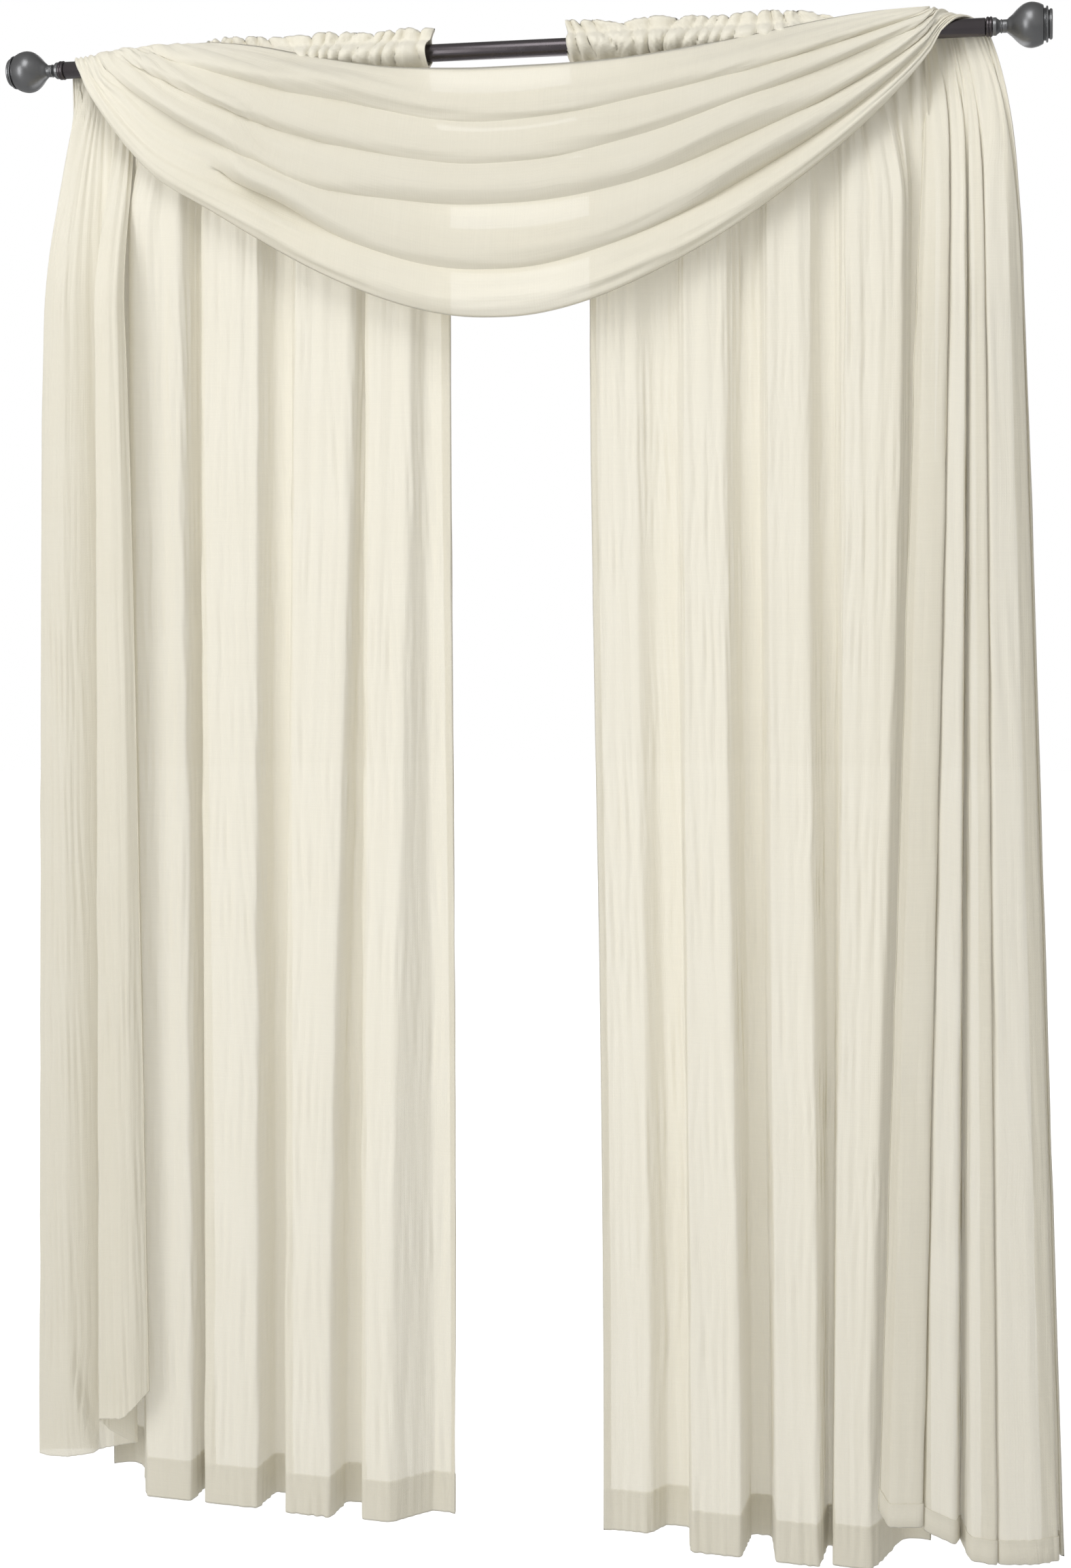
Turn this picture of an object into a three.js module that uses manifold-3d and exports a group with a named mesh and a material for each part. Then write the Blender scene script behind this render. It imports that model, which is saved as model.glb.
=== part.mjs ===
// Sheer curtain set on a round rod: two rod-pocket panels and a scarf that is laid over the rod's ends.
// Millimetres, +Z up, -Y towards the viewer. The origin is on the rod's axis, midway along it.
import * as THREE from 'three';
import { mergeVertices } from 'three/addons/utils/BufferGeometryUtils.js';
import Module from 'manifold-3d';

const wasm = await Module();
wasm.setup();

const GAP = 0.3; // between pieces that meet
const ROD = { radius: 12.7, halfLength: 676, sides: 32 };
const COLLAR = { radius: 19, thickness: 9, chamfer: 1.5, sides: 24 };
const FINIAL = { ballRadius: 31, ballCentre: 46, fromDegrees: 158, toDegrees: 42, arcSteps: 8, sides: 24 };
// Profile of a finial before and after its ball: distance from the collar, and radius.
const FINIAL_NECK = [
  { along: 0, radius: 0 },
  { along: 0, radius: 10.5 },
  { along: 3, radius: 10.5 },
  { along: 5, radius: 14.5 },
  { along: 8, radius: 14.5 },
  { along: 10, radius: 10.5 },
  { along: 15, radius: 10.5 },
];
const FINIAL_CAP = [
  { along: 70, radius: 21.5 },
  { along: 71.5, radius: 25.5 },
  { along: 75, radius: 25.5 },
  { along: 76.5, radius: 20 },
  { along: 79.5, radius: 20 },
  { along: 81, radius: 18 },
  { along: 81, radius: 0 },
];
const SHEER = { panelHalf: 1, scarfHalf: 0.8 }; // half the sheet's thickness
const POCKET = { bore: 13.1, bottom: -24, columnsPerFold: 5 };
const HEADING = { top: 33, neck: 13, squashed: 19, underScarf: 435, fade: 50 };
const RUFFLE = { count: 25, main: 0.7, slow: 0.3, slowTurns: 0.37, uneven: 0.8, unevenTurns: 11, below: 3 };
const FOLDS_FORMED = -300; // where the gathers have run together into folds
const FOLDS_FULL = -1300; // where the folds are at their full depth
const FORMED_DEPTH = 0.6; // share of its full depth that a fold has where it is formed
const WANDER = { reach: 3.5, length: 640, acrossPanel: 9 }; // slow sideways drift of the folds
const SQUARED = { panel: 0.75, scarf: 0.5 }; // how boxy a fold's section is, from 0 to 1

// Rows of a panel through its heading and pocket: height, half thickness, ruffle of the
// sheet to and fro, and how far the gathers puff the pocket out.
const HEADING_ROWS = [
  { z: 33, half: 1, wave: 6, puff: 0 },
  { z: 23, half: 1.4, wave: 4, puff: 0 },
  { z: 13, half: 10, wave: 0, puff: 2 },
  { z: 0, half: 15.6, wave: 0, puff: 3 },
  { z: -13, half: 10, wave: 0, puff: 2 },
  { z: -24, half: 1.6, wave: 3, puff: 0 },
];
const DROP_ROWS = [-48, -95, -175, -300, -560, -900, -1300, -1700]; // and then the hem

// Ridges and valleys of each panel from its outer to its inner edge: place along the rod under
// the swag and at the hem, and depth before (-) or behind (+) the rod at the hem.
const LEFT_PANEL = {
  headingOuter: -556,
  headingInner: -108,
  hem: -2104,
  phase: 0.4,
  folds: [
    { top: -562, hem: -592, y: 10 },
    { top: -547, hem: -562, y: 26 },
    { top: -514, hem: -497, y: -40 },
    { top: -474, hem: -464, y: 8 },
    { top: -405, hem: -398, y: -42 },
    { top: -350, hem: -351, y: 12 },
    { top: -282, hem: -281, y: -48 },
    { top: -238, hem: -242, y: 18 },
    { top: -182, hem: -175, y: -42 },
    { top: -136, hem: -132, y: 12 },
    { top: -78, hem: -75, y: 2 },
  ],
};
const RIGHT_PANEL = {
  headingOuter: 556,
  headingInner: 97,
  hem: -2098,
  phase: 2.1,
  folds: [
    { top: 568, hem: 586, y: 0 },
    { top: 548, hem: 552, y: 20 },
    { top: 512, hem: 503, y: -38 },
    { top: 460, hem: 465, y: 8 },
    { top: 408, hem: 420, y: -50 },
    { top: 350, hem: 368, y: 32 },
    { top: 288, hem: 314, y: -50 },
    { top: 240, hem: 262, y: 20 },
    { top: 214, hem: 222, y: 28 },
    { top: 168, hem: 188, y: -4 },
    { top: 126, hem: 152, y: -14 },
  ],
};

// Fold lines of the scarf from its upper to its lower edge, by turns the edge of a fold and
// the tuck behind it: radius over the rod, angle over the rod where the swag leaves it
// (0 is straight ahead, 90 on top), place at the middle of the swag, and how it falls there.
const SCARF_LINES = [
  { radius: 29, leaves: 90, midY: -34, midZ: -35, fall: 1.4, forward: 3 },
  { radius: 31, leaves: 64, midY: -62, midZ: -112, fall: 1.1, forward: 8 },
  { radius: 14.2, leaves: 60, midY: -43, midZ: -80, fall: 1.1, forward: 8 },
  { radius: 30, leaves: 44, midY: -67, midZ: -171, fall: 1.12, forward: 8 },
  { radius: 14.4, leaves: 38, midY: -46, midZ: -138, fall: 1.12, forward: 8 },
  { radius: 29, leaves: 24, midY: -72, midZ: -231, fall: 1.5, forward: 8 },
  { radius: 14.6, leaves: 16, midY: -49, midZ: -198, fall: 1.45, forward: 8 },
  { radius: 27, leaves: 4, midY: -76, midZ: -326, fall: 1.3, forward: 8 },
  { radius: 15, leaves: -8, midY: -53, midZ: -290, fall: 1.35, forward: 8 },
  { radius: 21, leaves: -22, midY: -68, midZ: -388, fall: 1.4, forward: 6 },
];
const PLUNGE = 0.78; // under 1, the folds leave the rod steeply
const ROUNDING = 0.12; // of the swag's lowest point, as a share of its half width
// Where the first and last line cross the front and the back of the rod, the share of the swag
// up to which its upper edge lies on the rod, and each line of the tail: place just under its
// gather and at its hem, depth, and height of the hem.
const LEFT_TAIL = {
  crest: 0.8,
  front: [-604, -648],
  back: [-592, -660],
  lines: [
    { spread: -564, hem: -530, y: -48, z: -1960 },
    { spread: -574, hem: -541, y: -94, z: -1974 },
    { spread: -602, hem: -582, y: -42, z: -2004 },
    { spread: -617, hem: -602, y: -92, z: -2024 },
    { spread: -636, hem: -623, y: -14, z: -2044 },
    { spread: -650, hem: -639, y: -96, z: -2034 },
    { spread: -664, hem: -654, y: -12, z: -2046 },
    { spread: -677, hem: -668, y: -92, z: -2036 },
    { spread: -689, hem: -681, y: -16, z: -2050 },
    { spread: -699, hem: -692, y: -60, z: -2046 },
  ],
};
const RIGHT_TAIL = {
  crest: 1,
  front: [600, 612],
  back: [614, 668],
  lines: [
    { spread: 592, hem: 528, y: -54, z: -2034 },
    { spread: 606, hem: 550, y: -98, z: -2018 },
    { spread: 625, hem: 590, y: -42, z: -2028 },
    { spread: 638, hem: 618, y: -98, z: -2026 },
    { spread: 650, hem: 648, y: -10, z: -2052 },
    { spread: 664, hem: 676, y: -96, z: -2046 },
    { spread: 678, hem: 704, y: -8, z: -2062 },
    { spread: 696, hem: 732, y: -94, z: -2046 },
    { spread: 711, hem: 758, y: -12, z: -2058 },
    { spread: 722, hem: 781, y: -58, z: -2046 },
  ],
};
const GATHER_REACH = 80; // below the rod, over which a tail spreads from its gather
const SWING_REACH = 480; // over which a tail comes forward past the panel's edge
const SWING_POWER = 6; // how late the swag's folds turn towards the rod
const SCARF_COLUMNS_PER_FOLD = 4;
const TAIL_SHARES = [1, 0.82, 0.62, 0.42, 0.27, 0.17, 0.1, 0.055, 0.022];
const WRAP_SHARES = [1, 0.8, 0.6, 0.4, 0.2];
const SWAG_SHARES = [1, 0.95, 0.88, 0.78, 0.65, 0.48, 0.3, 0.12];

const mix = (a, b, t) => a + (b - a) * t;
const ease = (t) => (1 - Math.cos(Math.PI * t)) / 2;

function step(from, to, value) {
  const t = Math.min(1, Math.max(0, (value - from) / (to - from)));
  return t * t * (3 - 2 * t);
}

// Runs fast at both ends and slowly between, which squares up a fold.
function boxy(t, share) {
  return t + (share * Math.sin(2 * Math.PI * t)) / (2 * Math.PI);
}

// A closed sheet from a grid of middle points and half thicknesses, thickened along its normals.
function sheetGeometry(points, halves) {
  const rows = points.length;
  const columns = points[0].length;
  const positions = [];
  const indices = [];
  const at = (side, j, i) => (side * rows + j) * columns + i;
  const quad = (a, b, c, d) => indices.push(a, b, c, a, c, d);
  for (const sign of [1, -1]) {
    for (let j = 0; j < rows; j += 1) {
      for (let i = 0; i < columns; i += 1) {
        const across = points[j][Math.min(i + 1, columns - 1)].clone();
        across.sub(points[j][Math.max(i - 1, 0)]);
        const down = points[Math.min(j + 1, rows - 1)][i].clone();
        down.sub(points[Math.max(j - 1, 0)][i]);
        const normal = across.cross(down).normalize();
        const p = points[j][i].clone().addScaledVector(normal, sign * halves[j][i]);
        positions.push(p.x, p.y, p.z);
      }
    }
  }
  for (let j = 0; j < rows - 1; j += 1) {
    for (let i = 0; i < columns - 1; i += 1) {
      quad(at(0, j, i), at(0, j, i + 1), at(0, j + 1, i + 1), at(0, j + 1, i));
      quad(at(1, j, i), at(1, j + 1, i), at(1, j + 1, i + 1), at(1, j, i + 1));
    }
  }
  const lastColumn = columns - 1;
  const lastRow = rows - 1;
  for (let i = 0; i < lastColumn; i += 1) {
    quad(at(0, 0, i + 1), at(0, 0, i), at(1, 0, i), at(1, 0, i + 1));
    quad(at(0, lastRow, i), at(0, lastRow, i + 1), at(1, lastRow, i + 1), at(1, lastRow, i));
  }
  for (let j = 0; j < lastRow; j += 1) {
    quad(at(0, j, 0), at(0, j + 1, 0), at(1, j + 1, 0), at(1, j, 0));
    quad(at(0, j + 1, lastColumn), at(0, j, lastColumn), at(1, j, lastColumn), at(1, j + 1, lastColumn));
  }
  const geometry = new THREE.BufferGeometry();
  geometry.setAttribute('position', new THREE.Float32BufferAttribute(positions, 3));
  geometry.setIndex(indices);
  return geometry;
}

function toManifold(geometry) {
  const bare = geometry.clone();
  bare.deleteAttribute('normal');
  bare.deleteAttribute('uv');
  const merged = mergeVertices(bare);
  const vertProperties = new Float32Array(merged.attributes.position.array);
  const triVerts = new Uint32Array(merged.index.array);
  return new wasm.Manifold(new wasm.Mesh({ numProp: 3, vertProperties, triVerts }));
}

function toGeometry(manifold) {
  const mesh = manifold.getMesh();
  const geometry = new THREE.BufferGeometry();
  geometry.setAttribute('position', new THREE.BufferAttribute(mesh.vertProperties, mesh.numProp));
  geometry.setIndex(new THREE.BufferAttribute(mesh.triVerts, 1));
  return geometry;
}

function material(color, roughness, metalness) {
  return new THREE.MeshStandardMaterial({ color, roughness, metalness });
}

function piece(name, geometry, finish) {
  geometry.computeVertexNormals();
  const mesh = new THREE.Mesh(geometry, finish);
  mesh.name = name;
  return mesh;
}

// The place and depth on a panel's folds, a share of the way across, at the given height.
function foldAt(panel, share, z) {
  const last = panel.folds.length - 1;
  const k = Math.min(Math.floor(share * last), last - 1);
  const t = share * last - k;
  const down = step(FOLDS_FORMED, panel.hem, z);
  const formed = FORMED_DEPTH * step(POCKET.bottom, FOLDS_FORMED, z);
  const depth = formed + (1 - FORMED_DEPTH) * step(FOLDS_FORMED, FOLDS_FULL, z);
  const from = panel.folds[k];
  const to = panel.folds[k + 1];
  const drift = WANDER.reach * Math.sin(z / WANDER.length + WANDER.acrossPanel * share + panel.phase);
  const x = mix(mix(from.top, from.hem, down), mix(to.top, to.hem, down), boxy(t, SQUARED.panel));
  return { x: x + drift * down, y: mix(from.y, to.y, ease(t)) * depth };
}

// Uneven little gathers along the heading, between -1 and 1.
function gather(panel, share) {
  const turns = 2 * Math.PI * RUFFLE.count * share + panel.phase;
  const uneven = RUFFLE.uneven * Math.sin(RUFFLE.unevenTurns * share);
  return RUFFLE.main * Math.sin(turns + uneven) + RUFFLE.slow * Math.sin(RUFFLE.slowTurns * turns);
}

// The heading is pressed down where the scarf lies over it.
function headingHeight(z, x) {
  if (z <= HEADING.neck) return z;
  const under = step(HEADING.underScarf, HEADING.underScarf + HEADING.fade, Math.abs(x));
  const top = mix(HEADING.top, HEADING.squashed, under);
  return mix(HEADING.neck, top, (z - HEADING.neck) / (HEADING.top - HEADING.neck));
}

function panelGeometry(panel) {
  const columns = (panel.folds.length - 1) * POCKET.columnsPerFold;
  const points = [];
  const halves = [];
  const shares = Array.from({ length: columns + 1 }, (_, i) => i / columns);
  const headingX = (share) => mix(panel.headingOuter, panel.headingInner, share);
  for (const row of HEADING_ROWS) {
    points.push(
      shares.map((share) => {
        const x = headingX(share);
        return new THREE.Vector3(x, row.wave * gather(panel, share), headingHeight(row.z, x));
      }),
    );
    halves.push(shares.map((share) => row.half + row.puff * (0.5 + 0.5 * gather(panel, share))));
  }
  for (const z of [...DROP_ROWS, panel.hem]) {
    const formed = step(POCKET.bottom, FOLDS_FORMED, z);
    points.push(
      shares.map((share) => {
        const fold = foldAt(panel, share, z);
        const y = fold.y + RUFFLE.below * (1 - formed) * gather(panel, share);
        return new THREE.Vector3(mix(headingX(share), fold.x, formed), y, z);
      }),
    );
    halves.push(shares.map(() => SHEER.panelHalf));
  }
  const bore = new THREE.CylinderGeometry(POCKET.bore, POCKET.bore, 2 * ROD.halfLength, ROD.sides);
  bore.rotateZ(Math.PI / 2);
  const sheet = sheetGeometry(points, halves);
  return toGeometry(toManifold(sheet).subtract(toManifold(bore)));
}

const lineShare = (j) => j / (SCARF_LINES.length - 1);

// A fold line of the tail, a share of the way from the rod to its hem.
function tailPoint(tail, j, share) {
  const line = tail.lines[j];
  const back = mix(tail.back[0], tail.back[1], lineShare(j));
  const drop = -line.z * share;
  const opened = 1 - Math.exp(-drop / GATHER_REACH);
  const x = back + (line.spread - back) * opened + (line.hem - line.spread) * share;
  const y = mix(SCARF_LINES[j].radius, line.y, step(0, SWING_REACH, drop));
  return new THREE.Vector3(x, y, -drop);
}

// A fold line over the rod, a share of the way from the swag to the back of the rod.
function wrapPoint(tail, j, share) {
  const line = SCARF_LINES[j];
  const front = mix(tail.front[0], tail.front[1], lineShare(j));
  const back = mix(tail.back[0], tail.back[1], lineShare(j));
  const angle = THREE.MathUtils.degToRad(mix(line.leaves, 180, share));
  return new THREE.Vector3(
    mix(front, back, share),
    -line.radius * Math.cos(angle),
    line.radius * Math.sin(angle),
  );
}

// A fold line of the swag, a share of the way from its middle to the rod.
function swagPoint(tail, j, share) {
  const line = SCARF_LINES[j];
  const end = wrapPoint(tail, j, 0);
  const rounded = (Math.hypot(share, ROUNDING) - ROUNDING) / (Math.hypot(1, ROUNDING) - ROUNDING);
  const plunge = 1 - (1 - rounded ** line.fall) ** PLUNGE;
  const resting = ease(Math.min(1, share / tail.crest) ** line.fall);
  return new THREE.Vector3(
    end.x * share,
    mix(line.midY, end.y, share ** line.forward),
    mix(line.midZ, end.z, j === 0 ? resting : plunge),
  );
}

// One row across the scarf through its fold lines. In the swag (swung = 0) each fold turns
// over in height, and in the tails (swung = 1) it turns over in depth.
function scarfRow(lines, swung) {
  const row = [];
  for (let j = 0; j < lines.length - 1; j += 1) {
    for (let c = 0; c < SCARF_COLUMNS_PER_FOLD; c += 1) {
      const t = c / SCARF_COLUMNS_PER_FOLD;
      const fast = boxy(t, SQUARED.scarf);
      const slow = ease(t);
      row.push(
        new THREE.Vector3(
          mix(lines[j].x, lines[j + 1].x, fast),
          mix(lines[j].y, lines[j + 1].y, mix(fast, slow, swung)),
          mix(lines[j].z, lines[j + 1].z, slow),
        ),
      );
    }
  }
  row.push(lines[lines.length - 1].clone());
  return row;
}

function scarfGeometry() {
  const rows = [];
  const add = (place, tail, share, swung) =>
    rows.push(scarfRow(SCARF_LINES.map((_, j) => place(tail, j, share)), swung));
  const backwards = (shares) => shares.slice().reverse();
  for (const share of TAIL_SHARES) add(tailPoint, LEFT_TAIL, share, 1);
  for (const share of WRAP_SHARES) add(wrapPoint, LEFT_TAIL, share, 1);
  for (const share of SWAG_SHARES) add(swagPoint, LEFT_TAIL, share, share ** SWING_POWER);
  for (const share of backwards(SWAG_SHARES)) add(swagPoint, RIGHT_TAIL, share, share ** SWING_POWER);
  for (const share of backwards(WRAP_SHARES)) add(wrapPoint, RIGHT_TAIL, share, 1);
  for (const share of backwards(TAIL_SHARES)) add(tailPoint, RIGHT_TAIL, share, 1);
  const halves = rows.map((row) => row.map(() => SHEER.scarfHalf));
  return sheetGeometry(rows, halves);
}

function rodGeometry() {
  const tube = new THREE.CylinderGeometry(ROD.radius, ROD.radius, 2 * ROD.halfLength, ROD.sides);
  return tube.rotateZ(Math.PI / 2);
}

// A turned piece along X from its profile, on the given end of the rod.
function turned(profile, sides, start, side) {
  const points = profile.map(({ along, radius }) => new THREE.Vector2(radius, along));
  const geometry = new THREE.LatheGeometry(points, sides);
  geometry.rotateZ(-side * (Math.PI / 2));
  return geometry.translate(side * start, 0, 0);
}

function collarGeometry(side) {
  const face = COLLAR.radius - COLLAR.chamfer;
  const profile = [
    { along: 0, radius: 0 },
    { along: 0, radius: face },
    { along: COLLAR.chamfer, radius: COLLAR.radius },
    { along: COLLAR.thickness - COLLAR.chamfer, radius: COLLAR.radius },
    { along: COLLAR.thickness, radius: face },
    { along: COLLAR.thickness, radius: 0 },
  ];
  return turned(profile, COLLAR.sides, ROD.halfLength + GAP, side);
}

function finialGeometry(side) {
  const ball = [];
  for (let k = 0; k <= FINIAL.arcSteps; k += 1) {
    const degrees = mix(FINIAL.fromDegrees, FINIAL.toDegrees, k / FINIAL.arcSteps);
    const angle = THREE.MathUtils.degToRad(degrees);
    ball.push({
      along: FINIAL.ballCentre + FINIAL.ballRadius * Math.cos(angle),
      radius: FINIAL.ballRadius * Math.sin(angle),
    });
  }
  const profile = [...FINIAL_NECK, ...ball, ...FINIAL_CAP];
  return turned(profile, FINIAL.sides, ROD.halfLength + COLLAR.thickness + 2 * GAP, side);
}

const sheer = () => material(0xe4dfcd, 0.9, 0);
const gunmetal = () => material(0x3c373a, 0.35, 0.85);
const pewter = () => material(0x5a5c5e, 0.32, 0.85);

const curtainSet = new THREE.Group();
curtainSet.add(piece('rod', rodGeometry(), gunmetal()));
for (const [end, side] of [['left', -1], ['right', 1]]) {
  curtainSet.add(piece(`collar_${end}`, collarGeometry(side), gunmetal()));
  curtainSet.add(piece(`finial_${end}`, finialGeometry(side), pewter()));
}
curtainSet.add(piece('panel_left', panelGeometry(LEFT_PANEL), sheer()));
curtainSet.add(piece('panel_right', panelGeometry(RIGHT_PANEL), sheer()));
curtainSet.add(piece('scarf', scarfGeometry(), sheer()));

export default curtainSet;
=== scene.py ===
import math

import bmesh
import bpy
import numpy as np
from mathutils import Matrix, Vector


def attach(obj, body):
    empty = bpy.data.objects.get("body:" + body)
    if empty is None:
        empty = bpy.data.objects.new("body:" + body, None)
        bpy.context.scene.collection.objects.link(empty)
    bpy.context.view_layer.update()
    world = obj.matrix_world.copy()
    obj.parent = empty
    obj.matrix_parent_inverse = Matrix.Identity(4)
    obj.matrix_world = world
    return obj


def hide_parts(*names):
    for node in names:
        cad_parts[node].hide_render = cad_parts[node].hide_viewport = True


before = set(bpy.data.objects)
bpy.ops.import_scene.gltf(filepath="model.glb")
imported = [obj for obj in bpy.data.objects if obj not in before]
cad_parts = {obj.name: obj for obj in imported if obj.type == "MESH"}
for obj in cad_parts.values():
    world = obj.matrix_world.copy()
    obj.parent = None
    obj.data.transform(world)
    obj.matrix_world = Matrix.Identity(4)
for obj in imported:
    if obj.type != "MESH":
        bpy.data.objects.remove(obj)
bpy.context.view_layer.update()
mm = 0.001  # the tables below are in millimetres, the meshes in metres
turn = 2 * math.pi
print("frame loaded:", ", ".join(sorted(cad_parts)))

camera = {
    "place": (0.7458, -3.0255, -0.6354),
    "yaw": 13.0,  # degrees to the left, seen from above
    "lens": 50.0,
    "sensor": 36.0,
    "shiftDown": 0.185,  # the picture's middle is below eye height
}


def addCamera():
    eye = bpy.data.cameras.new("camera")
    eye.lens = camera["lens"]
    eye.sensor_width = camera["sensor"]
    eye.sensor_fit = "AUTO"
    eye.shift_y = -camera["shiftDown"]
    holder = bpy.data.objects.new("camera", eye)
    holder.location = camera["place"]
    holder.rotation_euler = (math.radians(90), 0, math.radians(camera["yaw"]))
    bpy.context.collection.objects.link(holder)
    bpy.context.scene.camera = holder


addCamera()
print("camera placed")


def ramp(start, stop, value):
    share = np.clip((value - start) / (stop - start), 0.0, 1.0)
    return share * share * (3 - 2 * share)


def between(first, last, share):
    return first + (last - first) * share


def throughLines(lines, steps):
    # lines: rows, lines, xyz. A centripetal curve goes through the lines of each row,
    # so that sharp turns make no loops
    before = 2 * lines[:, :1] - lines[:, 1:2]
    after = 2 * lines[:, -1:] - lines[:, -2:-1]
    held = np.concatenate([before, lines, after], axis=1)
    knots = np.sqrt(np.linalg.norm(np.diff(held, axis=1), axis=2)) + 1e-4
    parts = []
    for gap, count in enumerate(steps):
        p0, p1, p2, p3 = (held[:, gap + k, None, :] for k in range(4))
        t1 = knots[:, gap, None, None]
        t2 = t1 + knots[:, gap + 1, None, None]
        t3 = t2 + knots[:, gap + 2, None, None]
        t = between(t1, t2, (np.arange(count) / count)[None, :, None])
        a1 = between(p0, p1, t / t1)
        a2 = between(p1, p2, (t - t1) / (t2 - t1))
        a3 = between(p2, p3, (t - t2) / (t3 - t2))
        b1 = between(a1, a2, t / t2)
        b2 = between(a2, a3, (t - t1) / (t3 - t1))
        parts.append(between(b1, b2, (t - t1) / (t2 - t1)))
    return np.concatenate(parts + [lines[:, -1:]], axis=1)


def addPiece(name, mesh, finish, node):
    mesh.polygons.foreach_set("use_smooth", [True] * len(mesh.polygons))
    mesh.materials.append(finish)
    piece = bpy.data.objects.new(name, mesh)
    bpy.context.collection.objects.link(piece)
    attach(piece, "root")
    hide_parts(node)
    return piece


# Finishes

def startFinish(name):
    finish = bpy.data.materials.new(name)
    finish.use_nodes = True
    tree = finish.node_tree
    tree.nodes.clear()
    return finish, tree


def addNode(tree, kind, values=None, **settings):
    node = tree.nodes.new(kind)
    for name, value in settings.items():
        setattr(node, name, value)
    for name, value in (values or {}).items():
        node.inputs[name].default_value = value
    return node


def link(tree, source, output, target, entry):
    tree.links.new(source.outputs[output], target.inputs[entry])


sheerLook = {
    "ivory": (0.80, 0.758, 0.632, 1),
    "ivoryPale": (0.855, 0.824, 0.722, 1),
    "through": (0.88, 0.825, 0.66, 1),
    "throughShare": 0.13,  # of the light that meets a thread
    "throughGathered": 0.05,  # where gathers lie on each other
    "openShare": 0.09,  # see-through share of the sheet
    "openSpread": 0.04,
    "openRange": {"From Min": 0.1, "From Max": 0.45},  # of warp on weft, from shut to open
    "slubsAcross": 520.0,  # thick and thin threads to the metre
    "slubsAlong": 9.0,
    "slubNoise": {"Scale": 1.0, "Detail": 3.0, "Roughness": 0.6},
    "slubHeight": 1.5,  # against that of a thread
    "patchNoise": {"Scale": 7.0, "Detail": 3.0},
    "slubTone": 0.35,  # share of the slubs in the tone, the rest is in patches
    "threadScale": 85.0,  # of the wave, which makes about 270 threads to the metre
    "crinklesAcross": 130.0,
    "crinklesAlong": 6.0,
    "crinkleNoise": {"Scale": 1.0, "Detail": 2.0, "Roughness": 0.5},
    "threadBump": {"Strength": 0.25, "Distance": 0.0004},
    "crinkleBump": {"Strength": 0.35, "Distance": 0.002},
    "face": {"Roughness": 0.86, "Sheen Weight": 0.25, "Specular IOR Level": 0.2},
}


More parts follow.
